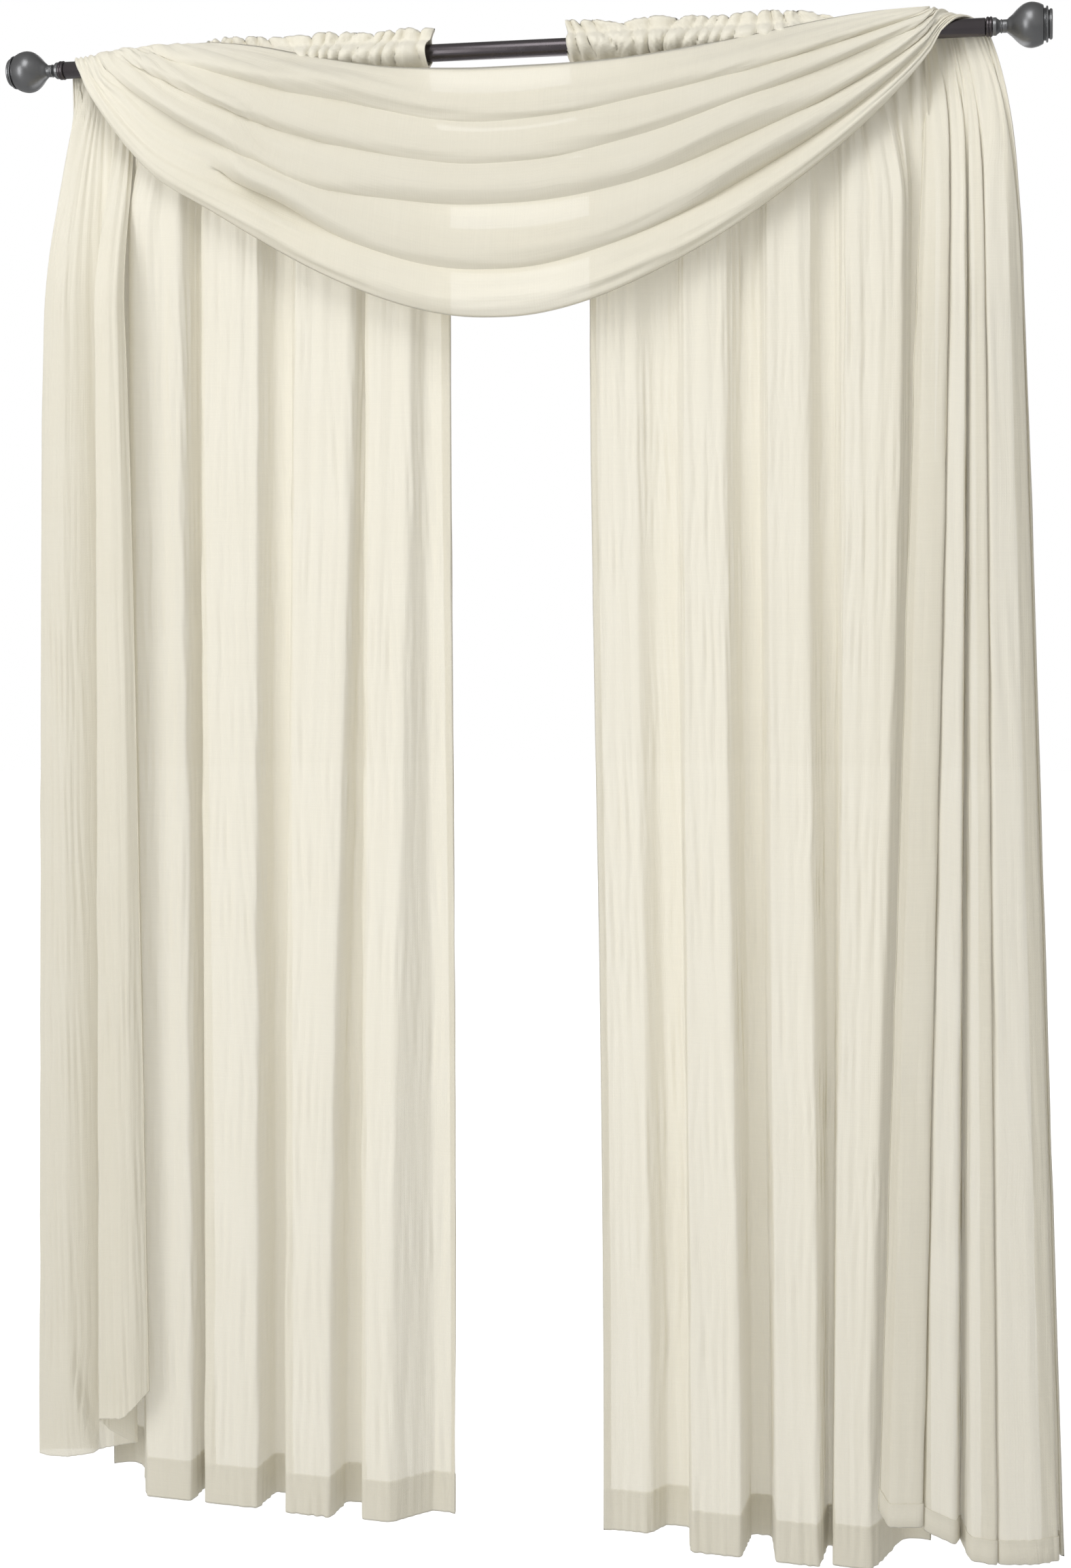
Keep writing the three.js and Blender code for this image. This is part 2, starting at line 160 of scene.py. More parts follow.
def sheerFinish():
    finish, tree = startFinish("sheerVoile")
    place = addNode(tree, "ShaderNodeUVMap", uv_map="cloth")
    stretch = addNode(tree, "ShaderNodeMapping")
    stretch.inputs["Scale"].default_value = (sheerLook["slubsAcross"], sheerLook["slubsAlong"], 1)
    slub = addNode(tree, "ShaderNodeTexNoise", sheerLook["slubNoise"])
    weft = addNode(tree, "ShaderNodeMapping")
    weft.inputs["Scale"].default_value = (sheerLook["slubsAlong"], sheerLook["slubsAcross"], 1)
    weftSlub = addNode(tree, "ShaderNodeTexNoise", sheerLook["slubNoise"])
    patches = addNode(tree, "ShaderNodeTexNoise", sheerLook["patchNoise"])
    mottle = addNode(tree, "ShaderNodeMix", data_type="FLOAT")
    mottle.inputs["Factor"].default_value = sheerLook["slubTone"]
    density = addNode(tree, "ShaderNodeAttribute", attribute_name="gathered")
    passing = addNode(tree, "ShaderNodeMapRange")
    passing.inputs["To Min"].default_value = sheerLook["throughShare"]
    passing.inputs["To Max"].default_value = sheerLook["throughGathered"]
    closed = addNode(tree, "ShaderNodeMath", operation="SUBTRACT")
    closed.inputs[0].default_value = 1.0
    opened = addNode(tree, "ShaderNodeMath", operation="MULTIPLY")
    tone = addNode(tree, "ShaderNodeMix", data_type="RGBA")
    tone.inputs["A"].default_value = sheerLook["ivory"]
    tone.inputs["B"].default_value = sheerLook["ivoryPale"]
    warp = addNode(tree, "ShaderNodeTexWave", {"Scale": sheerLook["threadScale"]}, bands_direction="X")
    pick = addNode(tree, "ShaderNodeTexWave", {"Scale": sheerLook["threadScale"]}, bands_direction="Y")
    weave = addNode(tree, "ShaderNodeMath", operation="MAXIMUM")
    relief = addNode(tree, "ShaderNodeMath", operation="MULTIPLY_ADD")
    relief.inputs[1].default_value = sheerLook["slubHeight"]
    crinkleMap = addNode(tree, "ShaderNodeMapping")
    crinkleMap.inputs["Scale"].default_value = (sheerLook["crinklesAcross"], sheerLook["crinklesAlong"], 1)
    crinkle = addNode(tree, "ShaderNodeTexNoise", sheerLook["crinkleNoise"])
    crinkled = addNode(tree, "ShaderNodeBump", sheerLook["crinkleBump"])
    bump = addNode(tree, "ShaderNodeBump", sheerLook["threadBump"])
    face = addNode(tree, "ShaderNodeBsdfPrincipled", sheerLook["face"])
    glow = addNode(tree, "ShaderNodeBsdfTranslucent", {"Color": sheerLook["through"]})
    threads = addNode(tree, "ShaderNodeMixShader")
    gaps = addNode(tree, "ShaderNodeBsdfTransparent")
    openness = addNode(tree, "ShaderNodeMapRange", sheerLook["openRange"])
    openness.inputs["To Min"].default_value = sheerLook["openShare"] - sheerLook["openSpread"] / 2
    openness.inputs["To Max"].default_value = sheerLook["openShare"] + sheerLook["openSpread"] / 2
    crossing = addNode(tree, "ShaderNodeMath", operation="MULTIPLY")
    side = addNode(tree, "ShaderNodeNewGeometry")
    once = addNode(tree, "ShaderNodeMath", operation="MAXIMUM")  # the sheet's far face is clear
    whole = addNode(tree, "ShaderNodeMixShader")
    out = addNode(tree, "ShaderNodeOutputMaterial")
    link(tree, place, "UV", stretch, "Vector")
    link(tree, stretch, "Vector", slub, "Vector")
    link(tree, place, "UV", weft, "Vector")
    link(tree, weft, "Vector", weftSlub, "Vector")
    link(tree, place, "UV", patches, "Vector")
    link(tree, patches, "Fac", mottle, "A")
    link(tree, slub, "Fac", mottle, "B")
    link(tree, mottle, "Result", tone, "Factor")
    link(tree, density, "Fac", passing, "Value")
    link(tree, density, "Fac", closed, 1)
    link(tree, passing, "Result", threads, "Fac")
    link(tree, place, "UV", warp, "Vector")
    link(tree, place, "UV", pick, "Vector")
    link(tree, warp, "Fac", weave, 0)
    link(tree, pick, "Fac", weave, 1)
    link(tree, slub, "Fac", relief, 0)
    link(tree, weave, "Value", relief, 2)
    link(tree, place, "UV", crinkleMap, "Vector")
    link(tree, crinkleMap, "Vector", crinkle, "Vector")
    link(tree, crinkle, "Fac", crinkled, "Height")
    link(tree, crinkled, "Normal", bump, "Normal")
    link(tree, relief, "Value", bump, "Height")
    link(tree, tone, "Result", face, "Base Color")
    link(tree, bump, "Normal", face, "Normal")
    link(tree, bump, "Normal", glow, "Normal")
    link(tree, face, "BSDF", threads, 1)
    link(tree, glow, "BSDF", threads, 2)
    link(tree, slub, "Fac", crossing, 0)
    link(tree, weftSlub, "Fac", crossing, 1)
    link(tree, crossing, "Value", openness, "Value")
    link(tree, openness, "Result", opened, 0)
    link(tree, closed, "Value", opened, 1)
    link(tree, opened, "Value", once, 0)
    link(tree, side, "Backfacing", once, 1)
    link(tree, once, "Value", whole, "Fac")
    link(tree, threads, "Shader", whole, 1)
    link(tree, gaps, "BSDF", whole, 2)
    link(tree, whole, "Shader", out, "Surface")
    return finish


metalWearAndShade = {
    "cloudNoise": {"Scale": 45.0, "Detail": 4.0},
    "grainNoise": {"Scale": 900.0, "Detail": 2.0},
    "hollowShadeToRubbedEdges": {"From Min": 0.44, "From Max": 0.54},  # from hollows darkened as painted shade to edges rubbed pale
    "edgeAndHollowTone": 0.7,  # share of the painted hollow shade and the rubbed edges in the tone, the rest is in clouds
    "smoother": 0.06, "rougher": 0.1,
    "bump": {"Strength": 0.08, "Distance": 0.0003},
    "metallic": 0.9,
}
metalLooks = {
    "gunmetalTube": {"dark": (0.055, 0.048, 0.052, 1), "pale": (0.10, 0.09, 0.096, 1), "roughness": 0.24},
    "pewterCast": {"dark": (0.04, 0.041, 0.043, 1), "pale": (0.24, 0.244, 0.25, 1), "roughness": 0.33},
}


def metalFinish(name):
    look = metalLooks[name]
    finish, tree = startFinish(name)
    place = addNode(tree, "ShaderNodeTexCoord")
    cloud = addNode(tree, "ShaderNodeTexNoise", metalWearAndShade["cloudNoise"])
    grain = addNode(tree, "ShaderNodeTexNoise", metalWearAndShade["grainNoise"])
    shape = addNode(tree, "ShaderNodeNewGeometry")
    rubbedAndShaded = addNode(tree, "ShaderNodeMapRange", metalWearAndShade["hollowShadeToRubbedEdges"])
    wornAndShaded = addNode(tree, "ShaderNodeMix", data_type="FLOAT")
    wornAndShaded.inputs["Factor"].default_value = metalWearAndShade["edgeAndHollowTone"]
    tone = addNode(tree, "ShaderNodeMix", data_type="RGBA")
    tone.inputs["A"].default_value = look["dark"]
    tone.inputs["B"].default_value = look["pale"]
    rough = addNode(tree, "ShaderNodeMapRange")
    rough.inputs["To Min"].default_value = look["roughness"] - metalWearAndShade["smoother"]
    rough.inputs["To Max"].default_value = look["roughness"] + metalWearAndShade["rougher"]
    bump = addNode(tree, "ShaderNodeBump", metalWearAndShade["bump"])
    face = addNode(tree, "ShaderNodeBsdfPrincipled")
    face.inputs["Metallic"].default_value = metalWearAndShade["metallic"]
    out = addNode(tree, "ShaderNodeOutputMaterial")
    link(tree, place, "Object", cloud, "Vector")
    link(tree, place, "Object", grain, "Vector")
    # Pointiness paints shade into the hollows and grooves and lightens the edges as rubbed wear
    link(tree, shape, "Pointiness", rubbedAndShaded, "Value")
    link(tree, cloud, "Fac", wornAndShaded, "A")
    link(tree, rubbedAndShaded, "Result", wornAndShaded, "B")
    link(tree, wornAndShaded, "Result", tone, "Factor")
    link(tree, cloud, "Fac", rough, "Value")
    link(tree, grain, "Fac", bump, "Height")
    link(tree, tone, "Result", face, "Base Color")
    link(tree, rough, "Result", face, "Roughness")
    link(tree, bump, "Normal", face, "Normal")
    link(tree, face, "BSDF", out, "Surface")
    return finish


sheer = sheerFinish()
gunmetal = metalFinish("gunmetalTube")
pewter = metalFinish("pewterCast")
print("finishes mixed")


# Rod, end collars and finials

def turnedMesh(name, profile, steps=64):
    # profile: distance along the rod and radius, starting and ending on the axis
    bm = bmesh.new()
    corners = [bm.verts.new((along * mm, 0, radius * mm)) for along, radius in profile]
    edges = [bm.edges.new(pair) for pair in zip(corners, corners[1:])]
    bmesh.ops.spin(bm, geom=corners + edges, cent=(0, 0, 0), axis=(1, 0, 0), angle=turn, steps=steps,
                   use_merge=True, use_duplicate=False)
    bmesh.ops.remove_doubles(bm, verts=bm.verts, dist=1e-6)
    bmesh.ops.recalc_face_normals(bm, faces=bm.faces)
    mesh = bpy.data.meshes.new(name)
    bm.to_mesh(mesh)
    bm.free()
    return mesh


def bevelSharp(piece, width, angle=32):
    bevel = piece.modifiers.new("edges", "BEVEL")
    bevel.width = width * mm
    bevel.segments = 2
    bevel.limit_method = "ANGLE"
    bevel.angle_limit = math.radians(angle)
    bevel.harden_normals = True


rod = {"radius": 12.7, "halfLength": 676, "lip": 1.2}
collar = {
    "radius": 14, "thickness": 9, "gap": 0.3, "bevel": 0.35,
    "edge": 1.5,  # cut off at both rims
    "groove": [(3.4, 0), (4, 0.9), (5, 0.9), (5.6, 0)],  # distance along and depth
}
finial = {  # distance from the collar and radius
    "neck": [
        (0, 12.4), (4.2, 12.4), (6.4, 10.2), (8.6, 8.8), (9.8, 8.4), (10.4, 9.6),
        (11.8, 9.6), (12.4, 8.6), (13.6, 9), (18.6, 9), (20.2, 10.4),
    ],
    "ball": [
        (21.2, 11.4), (25.4, 14.9), (29.6, 19.4), (34.9, 24.4), (42.3, 29.2),
        (51, 31), (59.2, 29.6), (63.5, 27.9), (66.6, 26.2),
    ],
    "cap": [
        (67.2, 24.8), (67.5, 22), (70.1, 22), (70.4, 24.2), (71, 24.8), (72.6, 24.6), (73.2, 23.4),
        (73.4, 19.4), (75, 19.4), (75.4, 20.8), (77.8, 20.8), (78.8, 19.8), (79, 18.4),
    ],
    "ballSteps": 4, "bevel": 0.4,
}


def addRod():
    end = rod["halfLength"]
    profile = [(-end, 0), (-end, rod["radius"] - rod["lip"]), (-end + rod["lip"], rod["radius"])]
    profile += [(end - rod["lip"], rod["radius"]), (end, rod["radius"] - rod["lip"]), (end, 0)]
    addPiece("rodTube", turnedMesh("rodTube", profile), gunmetal, "rod")


def addCollar(side, name, node):
    start = rod["halfLength"] + collar["gap"]
    radius, thick, edge = collar["radius"], collar["thickness"], collar["edge"]
    section = [(0, 0), (0, radius - edge), (edge, radius)]
    section += [(along, radius - depth) for along, depth in collar["groove"]]
    section += [(thick - edge, radius), (thick, radius - edge), (thick, 0)]
    profile = [(side * (start + along), radius) for along, radius in section]
    piece = addPiece(name, turnedMesh(name, profile), gunmetal, node)
    bevelSharp(piece, collar["bevel"])


def addFinial(side, name, node):
    start = rod["halfLength"] + 2 * collar["gap"] + collar["thickness"]
    steps = [finial["ballSteps"]] * (len(finial["ball"]) - 1)
    ball = throughLines(np.array(finial["ball"])[None], steps)[0]
    section = [(0, 0)] + finial["neck"] + ball.tolist() + finial["cap"] + [(finial["cap"][-1][0], 0)]
    profile = [(side * (start + along), radius) for along, radius in section]
    piece = addPiece(name, turnedMesh(name, profile), pewter, node)
    bevelSharp(piece, finial["bevel"])


addRod()
for side, word in ((-1, "Left"), (1, "Right")):
    addCollar(side, "collar" + word, "collar_" + word.lower())
    addFinial(side, "finial" + word, "finial_" + word.lower())
print("rod, collars and finials turned")


# Cloth: lines listed below, a smooth section through them, then the crush of the voile

cloth = {
    "thickness": 0.7,
    "layerGap": 1.3,  # between a hem's two layers
    "crushWaves": 26,
    "crushAcross": (24, 75),  # wrinkles to the metre
    "crushAlong": 4.0,
    "patchAcross": (1.5, 6),  # patches of stronger crush to the metre
    "patchAlong": 2.0,
    "patchMean": 0.55, "patchSpread": 0.45,
}


def creasedLines(lines, steps, rounding):
    # straight from line to line, with each fold rounded over a few columns
    parts = []
    for gap, count in enumerate(steps):
        share = (np.arange(count) / count)[None, :, None]
        parts.append(between(lines[:, gap, None], lines[:, gap + 1, None], share))
    points = np.concatenate(parts + [lines[:, -1:]], axis=1)
    for _ in range(rounding):
        points[:, 1:-1] = (points[:, :-2] + 2 * points[:, 1:-1] + points[:, 2:]) / 4
    return points


def stepsFor(lines, columns):
    gaps = np.linalg.norm(np.diff(lines, axis=1), axis=2).mean(axis=0)
    return np.maximum(3, np.rint(columns * gaps / gaps.sum())).astype(int)


def runningLength(points, axis):
    steps = np.linalg.norm(np.diff(points, axis=axis), axis=2)
    start = np.zeros_like(np.take(steps, [0], axis=axis))
    return np.concatenate([start, np.cumsum(steps, axis=axis)], axis=axis)


def flatPlace(points, width):
    # where each point lies on the flat cloth: across in the unit of width, along in metres
    across = runningLength(points, 1)
    across = across / across[:, -1:] * width
    along = runningLength(points, 0).mean(axis=1, keepdims=True) * mm + 0 * across
    return across, along


def backOf(points):
    across = np.gradient(points, axis=1)
    along = np.gradient(points, axis=0)
    normal = np.cross(across, along)
    return normal / (np.linalg.norm(normal, axis=2, keepdims=True) + 1e-9)


def crush(across, along, seed):
    # uneven wrinkles, narrow across the cloth and long down it
    rng = np.random.default_rng(seed)
    fields = []
    for kind in ("crush", "patch"):
        (low, high), slant = cloth[kind + "Across"], cloth[kind + "Along"]
        field = np.zeros_like(across)
        for _ in range(cloth["crushWaves"]):
            wave = rng.uniform(low, high) * across + rng.normal(0, slant) * along
            field += np.sin(turn * (wave + rng.uniform()))
        fields.append(field / math.sqrt(cloth["crushWaves"] / 2))
    return fields[0] * (cloth["patchMean"] + cloth["patchSpread"] * np.tanh(fields[1]))


def folded(values, count, axis):
    # a sheet's rows or columns, carried on over its edge for count more
    values = np.moveaxis(values, axis, 0)
    values = np.concatenate([values, values[-2:-2 - count:-1]])
    return np.moveaxis(values, 0, axis)


def turnEdges(points, back, gathered, sides, ends, gap):
    # both side edges, then the last rows, turned over to the back
    rows = points.shape[0]
    for _ in range(2):
        points, back, gathered = points[:, ::-1], back[:, ::-1], gathered[:, ::-1]
        shift = np.arange(points.shape[1] + sides) >= points.shape[1]
        points, back, gathered = (folded(values, sides, 1) for values in (points, back, gathered))
        points = points + gap * shift[None, :, None] * back
    shift = np.arange(rows + ends) >= rows
    points, back, gathered = (folded(values, ends, 0) for values in (points, back, gathered))
    return points + gap * shift[:, None, None] * back, gathered


def clothMesh(name, points, gathered, width):
    rows, columns = points.shape[:2]
    bm = bmesh.new()
    bmesh.ops.create_grid(bm, x_segments=columns - 1, y_segments=rows - 1, size=0.5)
    mesh = bpy.data.meshes.new(name)
    bm.to_mesh(mesh)
    bm.free()
    flat = np.empty(len(mesh.vertices) * 3)
    mesh.vertices.foreach_get("co", flat)
    flat = flat.reshape(-1, 3)
    column = np.rint((flat[:, 0] + 0.5) * (columns - 1)).astype(int)
    row = np.rint((flat[:, 1] + 0.5) * (rows - 1)).astype(int)
    mesh.vertices.foreach_set("co", (points[row, column] * mm).ravel())
    across, along = flatPlace(points, width)
    corner = np.empty(len(mesh.loops), dtype=int)
    mesh.loops.foreach_get("vertex_index", corner)
    where = np.stack([across[row, column], along[row, column]], axis=1)[corner]
    layer = mesh.uv_layers.new(name="cloth")
    layer.data.foreach_set("uv", where.ravel())
    density = mesh.attributes.new("gathered", "FLOAT", "POINT")
    density.data.foreach_set("value", np.clip(gathered, 0, 1)[row, column].astype(np.float32))
    mesh.update()
    return mesh


def thicken(piece):
    shell = piece.modifiers.new("sheet", "SOLIDIFY")
    shell.thickness = cloth["thickness"] * mm
    shell.offset = 0


# Panels

pocket = {"rodClear": 13.8, "stitchAbove": 19, "stitchBelow": -22, "layer": 0.9}
heading = {
    "top": 38, "dip": 10,  # the frill's uneven upper edge
    "lobes": 0.5, "lobeShape": 0.34,  # of that edge, lobes to a gather
    "squashed": 20, "underScarf": 435, "fade": 50,  # its height under the scarf, and where that begins
    "frillFrom": 8, "frillWave": 8, "waveMiddle": 0.6, "waveCovered": 0.4, "flare": 5,
    "puff": 18, "puffBehind": 5, "puffShape": 0.42, "puffCovered": 0.35, "stitchPuff": 0.3,
    "pocketShape": 0.6, "gatherFrom": -4, "behindShift": 0.06,
    "plumpMean": 0.84, "plumpSpread": 0.16, "plumpWaves": 3.7,
    "lean": 0.9, "leanOver": 40, "leanWaves": 1.7,
    "drift": [(0.34, 2.3, 1), (0.22, 5.1, -1)],  # of the gathers: how far, waves across, way of the phase
    "backRows": 15, "frontRows": 19, "denseReach": 90,
}
drop = {
    "formed": -240, "full": -1800,
    "rows": 122, "bunching": 1.12,
    "wander": 3.5, "wanderLength": 640, "wanderAcross": 9,
    "gather": 5.0, "gatherReach": 260,
    "gatherLate": 1.4, "lateReach": 900, "latePitch": 1.5, "lateShift": 0.2,
    "crush": 0.85, "hemRows": 4, "hemEdge": 2.5, "riseOver": 0.14, "sideColumns": 4, "rounding": 4,
}
panelCut = (1.067, 2.134)

leftPanel = {
    "name": "panelLeft", "node": "panel_left", "left": -588, "right": -108, "hem": -2104,
    "phase": 0.4, "seed": 11, "puffs": 23, "columns": 284, "outerRise": (18, 0), "depthAbove": (0.8, 0.35),
    "folds": [  # place under the swag and at the hem, half of its flat at both, depth: - towards the viewer
        (-602, -600, 0, 0, 8),
        (-580, -566, 5, 9, 26),
        (-520, -489, 42, 35, -44),
        (-463, -447, 4, 5, 14),
        (-405, -399, 43, 41, -44),
        (-334, -337, 15, 14, 12),
        (-261, -280, 45, 35, -47),
        (-207, -220, 4, 15, 8),
        (-166, -174, 35, 22, -42),
        (-107, -90, 13, 14, 7),
        (-78, -72, 0, 0, 4),
    ],
}
rightPanel = {
    "name": "panelRight", "node": "panel_right", "left": 97, "right": 594, "hem": -2096,
    "phase": 2.1, "seed": 23, "puffs": 22, "columns": 284, "outerRise": (0, 22), "depthAbove": (0.3, 0.6),
    "folds": [
        (126, 152, 0, 0, -12),
        (168, 192, 22, 22, -8),
        (232, 247, 16, 16, 24),
        (292, 310, 28, 35, -48),
        (352, 367, 14, 14, 24),
        (408, 428, 28, 30, -50),
        (461, 468, 10, 4, 14),
        (527, 500, 38, 25, -42),
        (580, 566, 5, 7, 22),
        (608, 598, 0, 0, 14),
    ],
}


def foldLines(panel, heights):
    lines = []
    down = ramp(drop["formed"], panel["hem"], heights)
    begun = ramp(pocket["stitchBelow"], drop["formed"], heights)
    grown = ramp(drop["formed"], drop["full"], heights)
    for index, (top, hem, topFlat, hemFlat, deep) in enumerate(panel["folds"]):
        share = index / (len(panel["folds"]) - 1)
        sway = np.sin(heights / drop["wanderLength"] + drop["wanderAcross"] * share + panel["phase"])
        middle = between(top, hem, down) + drop["wander"] * sway * down
        flat = between(topFlat, hemFlat, down)
        shallow = between(*panel["depthAbove"], share)
        depth = deep * (shallow * begun + (1 - shallow) * grown)
        for side in ((-1, 1) if hemFlat else (0,)):
            lines.append(np.stack([middle + side * flat, depth, heights], axis=1))
    return np.stack(lines, axis=1)


def unevenCount(panel, share, extra=0.0):
    # how many gathers lie to the left of a place across the panel; their pitch is uneven
    phase = panel["phase"]
    uneven = sum(far * np.sin(turn * (waves * share + way * phase)) for far, waves, way in heading["drift"])
    return panel["puffs"] * share + uneven + extra


def puffShape(count, sharp):
    return np.abs(np.sin(math.pi * count)) ** sharp


def headingRow(panel, share, level, front):
    # level: height in the pocket, or above its upper stitches up to the frill's edge
    up, low, clear = pocket["stitchAbove"], pocket["stitchBelow"], pocket["rodClear"]
    x = between(panel["left"], panel["right"], share)
    free = 1 - ramp(heading["underScarf"], heading["underScarf"] + heading["fade"], np.abs(x))
    above = ramp(up - heading["frillFrom"], heading["top"], level)
    lean = heading["lean"] * np.sin(turn * (heading["leanWaves"] * share + panel["phase"]))
    lean = lean / heading["leanOver"]
    count = unevenCount(panel, share, lean * level + (0 if front else heading["behindShift"]))
    plump = np.sin(turn * (heading["plumpWaves"] * share + 2 * panel["phase"]))
    plump = heading["plumpMean"] + heading["plumpSpread"] * plump
    bulge = puffShape(count, heading["puffShape"]) * plump
    lobes = heading["lobes"] * unevenCount(panel, share, lean * heading["top"])
    scallop = puffShape(lobes, heading["lobeShape"]) * plump
    stand = heading["top"] - heading["squashed"] - heading["dip"] * (1 - scallop)
    top = heading["squashed"] + free * stand
    z = np.where(level <= up, level, up + (level - up) / (heading["top"] - up) * (top - up))
    reach = np.where(level > 0, up, -low)
    touch = clear * clear / reach
    curve = np.sqrt(np.maximum(0, clear * clear - level * level))
    edge = clear * np.sqrt(1 - (clear / reach) ** 2)
    slope = edge * (reach - np.abs(level)) / (reach - touch)
    half = np.where(np.abs(level) < touch, curve, np.maximum(slope, 0)) + pocket["layer"]
    inPocket = (level - low) * (up - level) / (0.25 * (up - low) ** 2)  # 1 at mid height, 0 at the stitches
    inPocket = np.clip(inPocket, 0, 1) ** heading["pocketShape"]
    inPocket = np.maximum(inPocket, heading["stitchPuff"] * ramp(0, up, level) * (1 - above))
    puff = heading["puff"] if front else heading["puffBehind"]
    half = half + puff * inPocket * bulge * between(heading["puffCovered"], 1, free)
    wave = (heading["waveMiddle"] - bulge) * 2 * heading["frillWave"] * above
    wave = wave * between(heading["waveCovered"], 1, free)
    below = np.cos(turn * unevenCount(panel, share)) * drop["gather"]
    below = below * ramp(heading["gatherFrom"], low, level)
    y = (-half if front else half) + wave + below
    x = x + heading["flare"] * above * free * (2 * share - 1)
    return np.stack([x, y, z], axis=1)


def panelPoints(panel):
    start = pocket["stitchBelow"]
    share = np.linspace(0, 1, drop["rows"] + 1)[1:] ** drop["bunching"]
    share = np.insert(share, -1, 1 - drop["hemEdge"] / (start - panel["hem"]))  # keeps the hem's edge crisp
    heights = start + (panel["hem"] - start) * share
    lines = foldLines(panel, heights)
    steps = stepsFor(lines, panel["columns"])
    folds = creasedLines(lines, steps, drop["rounding"])
    across = runningLength(folds[-1:], 1)[0]
    across = across / across[-1]
    leftRise, rightRise = panel["outerRise"]
    over = drop["riseOver"]
    rise = leftRise * ramp(over, 0, across) + rightRise * ramp(1 - over, 1, across)
    folds[:, :, 2] += rise[None, :] * share[:, None]  # the hem rises a little towards the tails
    headX = between(panel["left"], panel["right"], across)
    formed = ramp(start, drop["formed"], heights)[:, None]
    folds[:, :, 0] = between(headX[None, :], folds[:, :, 0], formed)
    fade = np.exp((heights[:, None] - start) / drop["gatherReach"])
    late = np.exp((heights[:, None] - start) / drop["lateReach"])
    count = unevenCount(panel, across)[None, :]
    folds[:, :, 1] += drop["gather"] * fade * np.cos(turn * count)
    lateWave = np.sin(turn * (count * drop["latePitch"] + drop["lateShift"]))
    folds[:, :, 1] += drop["gatherLate"] * (late - fade) * lateWave
    backLevels = np.linspace(start, heading["top"], heading["backRows"])
    frontLevels = np.linspace(heading["top"], start, heading["frontRows"])[1:]
    rows = [headingRow(panel, across, level, False) for level in backLevels]
    rows += [headingRow(panel, across, level, True) for level in frontLevels]
    return np.concatenate([np.stack(rows), folds], axis=0)


def addPanel(panel):
    points = panelPoints(panel)
    back = backOf(points)
    across, along = flatPlace(points, panelCut[0])
    points = points + drop["crush"] * crush(across, along, panel["seed"])[:, :, None] * back
    gathered = np.exp(np.minimum(0, points[:, :, 2] - pocket["stitchBelow"]) / heading["denseReach"])
    turned = drop["sideColumns"], drop["hemRows"], cloth["layerGap"]
    points, gathered = turnEdges(points, back, gathered, *turned)
    mesh = clothMesh(panel["name"], points, gathered, panelCut[0])
    piece = addPiece(panel["name"], mesh, sheer, panel["node"])
    thicken(piece)
    print(panel["name"], "hung:", points.shape[0], "rows of", points.shape[1])


addPanel(leftPanel)
addPanel(rightPanel)


# Scarf

scarfCut = (0.72, 5.486)
scarf = {
    "name": "scarfSwag", "node": "scarf", "columns": 142, "seed": 41,
    "plunge": 0.78, "rounding": 0.12,
    "swingReach": 380, "softFolds": 1, "crisp": 6,
    "swagRows": 101, "wrapRows": 18, "tailRows": 80, "tailBunching": 1.25,
    "crush": 0.8, "crushSpread": 1.2, "crushLeast": 0.25,  # least where the cloth is bunched
    "pleats": 13, "pleatDrift": 0.6, "driftWaves": 2.2,
    "pleatDepth": 1.4, "pleatFrom": 30, "pleatReach": 320,  # from the rod
    "denseFrom": 1.5, "denseFall": 2, "edgeColumns": 1, "hemRows": 2, "pocketEase": 4,
    "lines": [  # radius on the rod, angle where it leaves it, middle's depth and height, two falls, lag
        (31, 90, -34, -30, 1.4, 1.4, 3),
        (31, 70, -64, -101, 1.1, 1.1, 8),
        (29, 63, -50, -119, 1.1, 1.1, 8),
        (26, 62, -40, -68, 1.1, 1.1, 8),
        (29, 48, -69, -161, 1.12, 1.12, 8),
        (27, 41, -54, -179, 1.12, 1.12, 8),
        (24, 40, -42, -123, 1.12, 1.12, 8),
        (27, 28, -74, -212, 1.5, 1.5, 8),
        (24, 19, -57, -231, 1.48, 1.48, 8),
        (20, 18, -44, -172, 1.46, 1.46, 8),
        (20, 9, -78, -306, 1.3, 1.3, 8),
        (18.5, 0, -60, -326, 1.33, 1.33, 8),
        (17, -4, -47, -262, 1.35, 1.35, 8),
        (17.5, -13, -79, -362, 1.32, 1.38, 7),
        (16, -22, -68, -388, 1.33, 1.4, 6),
    ],
    "pockets": [  # line, side, place along its half, width, moved back, moved up
        (1, "left", 0.45, 0.20, -5, 15),
        (2, "left", 0.45, 0.20, 7, 0),
        (4, "left", 0.55, 0.30, 0, -11),
        (5, "left", 0.55, 0.30, 0, -11),
        (6, "left", 0.55, 0.30, 0, -11),
        (7, "left", 0.48, 0.15, 0, -20),
        (8, "left", 0.48, 0.15, 2, -20),
        (9, "left", 0.48, 0.15, 4, -16),
        (7, "right", 0.58, 0.14, -4, 17),
        (8, "right", 0.58, 0.14, 9, 4),
        (9, "right", 0.58, 0.14, 10, -6),
        (10, "left", 0.52, 0.13, -3, 18),
        (11, "left", 0.52, 0.13, 7, 18),
        (12, "left", 0.52, 0.13, 15, -4),
        (13, "left", 0.82, 0.12, 0, -28),
        (14, "left", 0.82, 0.12, 0, -28),
        (10, "right", 0.62, 0.16, -4, 16),
        (11, "right", 0.62, 0.16, 9, 6),
        (12, "right", 0.62, 0.16, 13, -8),
    ],
    "shutFold": (10, 12, 0.56, 0.74, 0.9),  # first and last line, where it closes, where it opens
}
